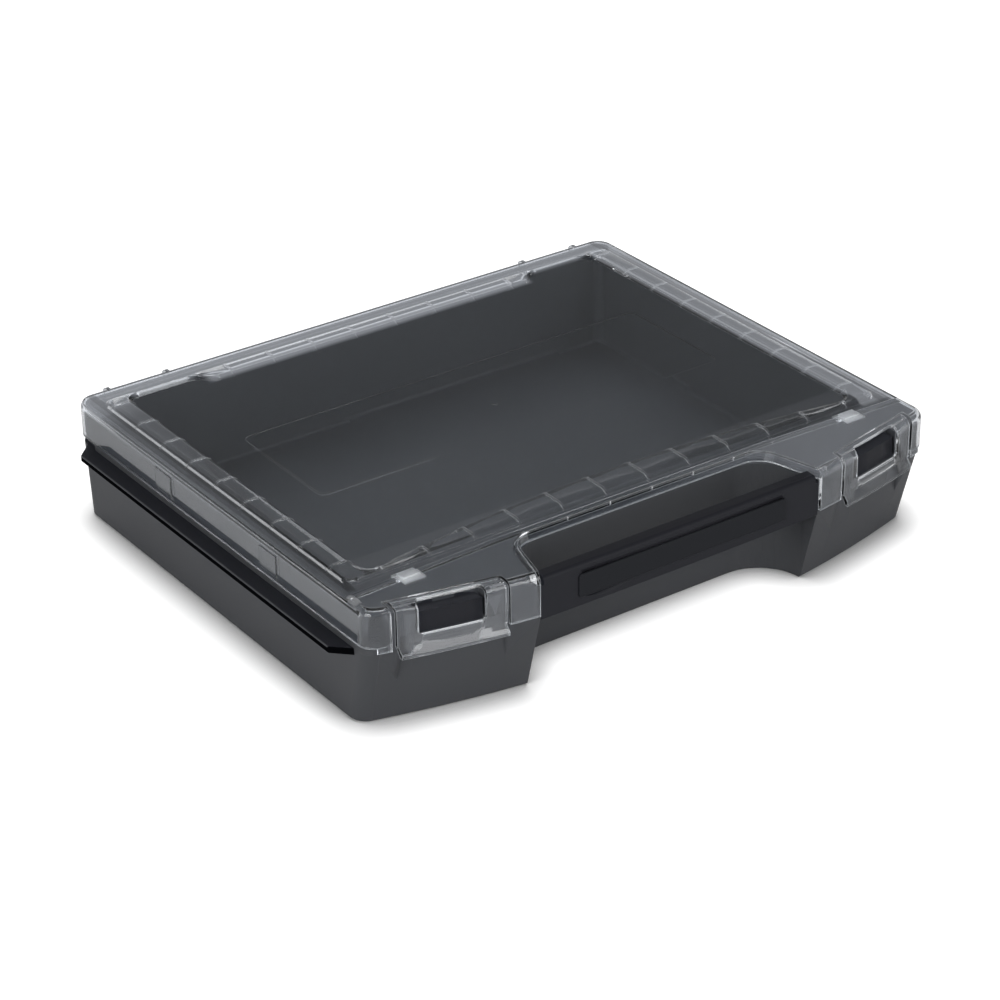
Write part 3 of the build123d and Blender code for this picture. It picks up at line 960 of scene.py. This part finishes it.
@dataclass
class RailedMoulding(Moulding):
    """The tray, whose side rails and catches get darker materials than its textured walls: painted shade on
    the same plastic, with slightly lower roughness for their polish.
    """

    rail_reaches_x: float = 0.188
    rail_low_z: float = 0.0415
    rail_high_z: float = 0.0465
    rail_side_slope: float = 0.1
    rail_top_slope: float = 0.95
    catch_inner_x: float = 0.1215
    catch_outer_x: float = 0.1554
    catch_low_z: float = 0.0525
    catch_high_z: float = 0.0660
    catch_from_arc: float = 0.6403
    arc_centre_y: float = 0.485

    def is_rail(self, corners: list[Vector]) -> bool:
        """Tells whether a face belongs to a side rail.

        Args:
            corners: The face's corners.

        Returns:
            True when it does.
        """
        reaches = max(abs(corner.x) for corner in corners) > self.rail_reaches_x
        low = min(corner.z for corner in corners) > self.rail_low_z
        return reaches and low and max(corner.z for corner in corners) < self.rail_high_z

    def is_catch(self, centre: Vector) -> bool:
        """Tells whether a face belongs to a catch behind a tab's window.

        Args:
            centre: The face's centre.

        Returns:
            True when it does.
        """
        across = self.catch_inner_x < abs(centre.x) < self.catch_outer_x
        upright = self.catch_low_z < centre.z < self.catch_high_z
        reach = math.hypot(centre.x, centre.y - self.arc_centre_y)
        return across and upright and centre.y < 0.0 and reach > self.catch_from_arc

    def darken_rails_and_catches(self, piece: bpy.types.Object, side: bpy.types.Material, smooth: bpy.types.Material) -> None:
        """Gives the rails and the catches darker materials than the tray's walls: painted shade, with
        slightly lower roughness for their polish in the mould.

        Args:
            piece: The piece that build made.
            side: The near-black material of the rails' sides and undersides, which paints shade on them.
            smooth: The darker grip material of the catches and the rails' tops, which paints shade on them.
        """
        shaded_side_index = len(piece.data.materials)
        shaded_smooth_index = shaded_side_index + 1
        piece.data.materials.append(side)
        piece.data.materials.append(smooth)
        for face in piece.data.polygons:
            corners = [piece.data.vertices[index].co for index in face.vertices]
            at_rail = self.is_rail(corners)
            if at_rail and face.normal.z < self.rail_side_slope:
                face.material_index = shaded_side_index
            elif (at_rail and face.normal.z > self.rail_top_slope) or self.is_catch(face.center):
                face.material_index = shaded_smooth_index


@dataclass(frozen=True)
class Lamp:
    """A square lamp aimed at the box, in metres and watts."""

    name: str
    place: Point
    size: float
    power: float
    mirrored: bool

    def build(self) -> None:
        """Makes the lamp, which shiny surfaces show only when it is mirrored."""
        data = bpy.data.lights.new(self.name, "AREA")
        data.shape = "SQUARE"
        data.size = self.size
        data.energy = self.power
        lamp = bpy.data.objects.new(self.name, data)
        bpy.context.scene.collection.objects.link(lamp)
        lamp.visible_glossy = self.mirrored
        lamp.location = self.place
        lamp.rotation_euler = (-Vector(self.place)).to_track_quat("-Z", "Y").to_euler()


@dataclass
class Studio:
    """Floor, lamps, surround and camera, none of them part of the object."""

    floor_size: float = 40.0
    floor_drop: float = 0.0003
    floor_shade: float = 0.8
    floor_roughness: float = 0.6
    floor_lift: float = 0.85
    floor_lift_mirrored: float = 0.12
    floor_lift_through: float = 0.15
    contact_reach: float = 0.022
    contact_start: float = 0.44
    contact_samples: int = 12
    low_height: float = 0.12
    low_light: float = 0.75
    high_height: float = 0.34
    high_light: float = 0.10
    focal_mm: float = 110.92
    sensor_mm: float = 36.0
    azimuth: float = -35.19
    elevation: float = 28.69
    roll: float = -0.74
    camera_mm: Point = (-870.88, -1228.78, 838.17)
    nearest: float = 0.01
    farthest: float = 100.0
    lamps: tuple[Lamp, ...] = (
        Lamp("lamp_left", (-1.8, -0.7, 0.9), size=1.2, power=19.5, mirrored=True),
        Lamp("lamp_front", (0.5, -2.0, 1.0), size=1.2, power=17.0, mirrored=True),
        Lamp("lamp_back", (0.3, 1.2, 2.0), size=1.6, power=18.0, mirrored=False),
    )

    def build(self) -> None:
        """Makes the whole studio."""
        self.make_floor()
        self.make_world()
        for lamp in self.lamps:
            lamp.build()
        self.make_camera()

    def seen_lift(self, graph: Graph) -> Socket:
        """Works out the light that the floor adds for the rays that show the background.

        Args:
            graph: The graph that it is built in.

        Returns:
            The full lift for camera rays, smaller ones for mirrored and transmitted rays, else 0.
        """
        path = graph.add("ShaderNodeLightPath")
        return graph.largest(
            graph.times(path.outputs["Is Camera Ray"], self.floor_lift),
            graph.times(path.outputs["Is Glossy Ray"], self.floor_lift_mirrored),
            graph.times(path.outputs["Is Transmission Ray"], self.floor_lift_through),
        )

    def make_floor(self) -> None:
        """Makes the pale floor, which keeps the object's shadow from the lamps and has a painted contact
        shadow close under it.
        """
        deselect_all()
        bpy.ops.mesh.primitive_plane_add(size=self.floor_size, location=(0.0, 0.0, -self.floor_drop))
        floor = bpy.context.object
        floor.name = "floor"
        material, graph, surface = plain_material("floor_white")
        surface.inputs["Base Color"].default_value = grey(self.floor_shade)
        surface.inputs["Roughness"].default_value = self.floor_roughness
        surface.inputs["Emission Color"].default_value = grey(1.0)
        # Painted contact shadow: ambient occlusion dims the floor's added light close under the box.
        near = graph.add("ShaderNodeAmbientOcclusion", samples=self.contact_samples)
        near.inputs["Distance"].default_value = self.contact_reach
        contact = graph.rise(near.outputs["AO"], self.contact_start, 1.0 - self.contact_start)
        lift = graph.times(self.seen_lift(graph), contact)
        graph.join(lift, surface.inputs["Emission Strength"])
        floor.data.materials.append(material)

    def make_world(self) -> None:
        """Makes the surround, white to the camera and darker above the box."""
        world = bpy.data.worlds.new("studio")
        bpy.context.scene.world = world
        world.use_nodes = True
        graph = Graph(world.node_tree)
        back = graph.find("BACKGROUND")
        place = graph.add("ShaderNodeTexCoord")
        split = graph.add("ShaderNodeSeparateXYZ")
        ramp = graph.add("ShaderNodeValToRGB")
        graph.join(place.outputs["Generated"], split.inputs[0])
        graph.join(split.outputs["Z"], ramp.inputs["Fac"])
        low, high = ramp.color_ramp.elements
        low.position, low.color = self.low_height, grey(self.low_light)
        high.position, high.color = self.high_height, grey(self.high_light)
        path = graph.add("ShaderNodeLightPath")
        seen = graph.blend(path.outputs["Is Camera Ray"], ramp.outputs["Color"], grey(1.0))
        graph.join(seen, back.inputs["Color"])
        back.inputs["Strength"].default_value = 1.0

    def make_camera(self) -> None:
        """Makes the camera at the photograph's angle."""
        turn = math.radians(self.azimuth)
        rise = math.radians(self.elevation)
        tilt = math.radians(self.roll)
        back = Vector((math.sin(turn) * math.cos(rise), -math.cos(turn) * math.cos(rise), math.sin(rise)))
        level = Vector((math.cos(turn), math.sin(turn), 0.0))
        above = back.cross(level)
        right = level * math.cos(tilt) + above * math.sin(tilt)
        up = above * math.cos(tilt) - level * math.sin(tilt)
        data = bpy.data.cameras.new("photo_camera")
        data.lens = self.focal_mm
        data.sensor_width = self.sensor_mm
        data.sensor_fit = "HORIZONTAL"
        data.clip_start = self.nearest
        data.clip_end = self.farthest
        camera = bpy.data.objects.new("photo_camera", data)
        bpy.context.scene.collection.objects.link(camera)
        turned = Matrix((right, up, back)).transposed().to_4x4()
        camera.matrix_world = Matrix.Translation(Vector(self.camera_mm) * MM) @ turned
        bpy.context.scene.camera = camera


@dataclass
class PartsBox:
    """The whole box as an assembly of mouldings."""

    finishes: Finishes = Finishes()

    def build(self) -> None:
        """Builds and dresses every piece."""
        groups = Groups()
        tray_finish = self.finishes.tray.build(groups)
        grip_finish = self.finishes.grip.build(groups)
        plate_finish = self.finishes.plate.build(groups)
        clear_finish = self.finishes.clear.build(groups)
        steel_finish = self.finishes.steel.build(groups)
        tray = RailedMoulding("base_tray", "tray_moulding", "tray", "tray_plastic")
        tray_piece = tray.build()
        tray.dress(tray_piece, tray_finish)
        # The rails and the catches take darker materials than the tray: painted shade.
        tray.darken_rails_and_catches(tray_piece, self.finishes.rail.build(groups), grip_finish)
        parts = [
            (Moulding("handle_bar", "grip_bar", "tray", "grip_plastic"), grip_finish),
            (Moulding("handle_label_plate", "blank_plate", "tray", "plate_plastic"), plate_finish),
            (Moulding("lid", "clear_lid", "lid", "clear_plastic"), clear_finish),
        ]
        for side in Side:
            latch = f"latch_{side.value}"
            tab = Moulding(latch, f"latch_tab_{side.value}", latch, "clear_plastic")
            pin = Moulding(f"hinge_pin_{side.value}", f"pin_{side.value}", "tray", "pin_steel")
            parts.append((tab, clear_finish))
            parts.append((pin, steel_finish))
        for moulding, finish in parts:
            moulding.dress(moulding.build(), finish)


def main() -> None:
    """Builds the box and the studio."""
    logging.basicConfig(level=logging.INFO, format="%(message)s")
    bpy.context.scene.view_settings.view_transform = "Standard"
    PartsBox().build()
    Studio().build()


if __name__ == "__main__":
    main()
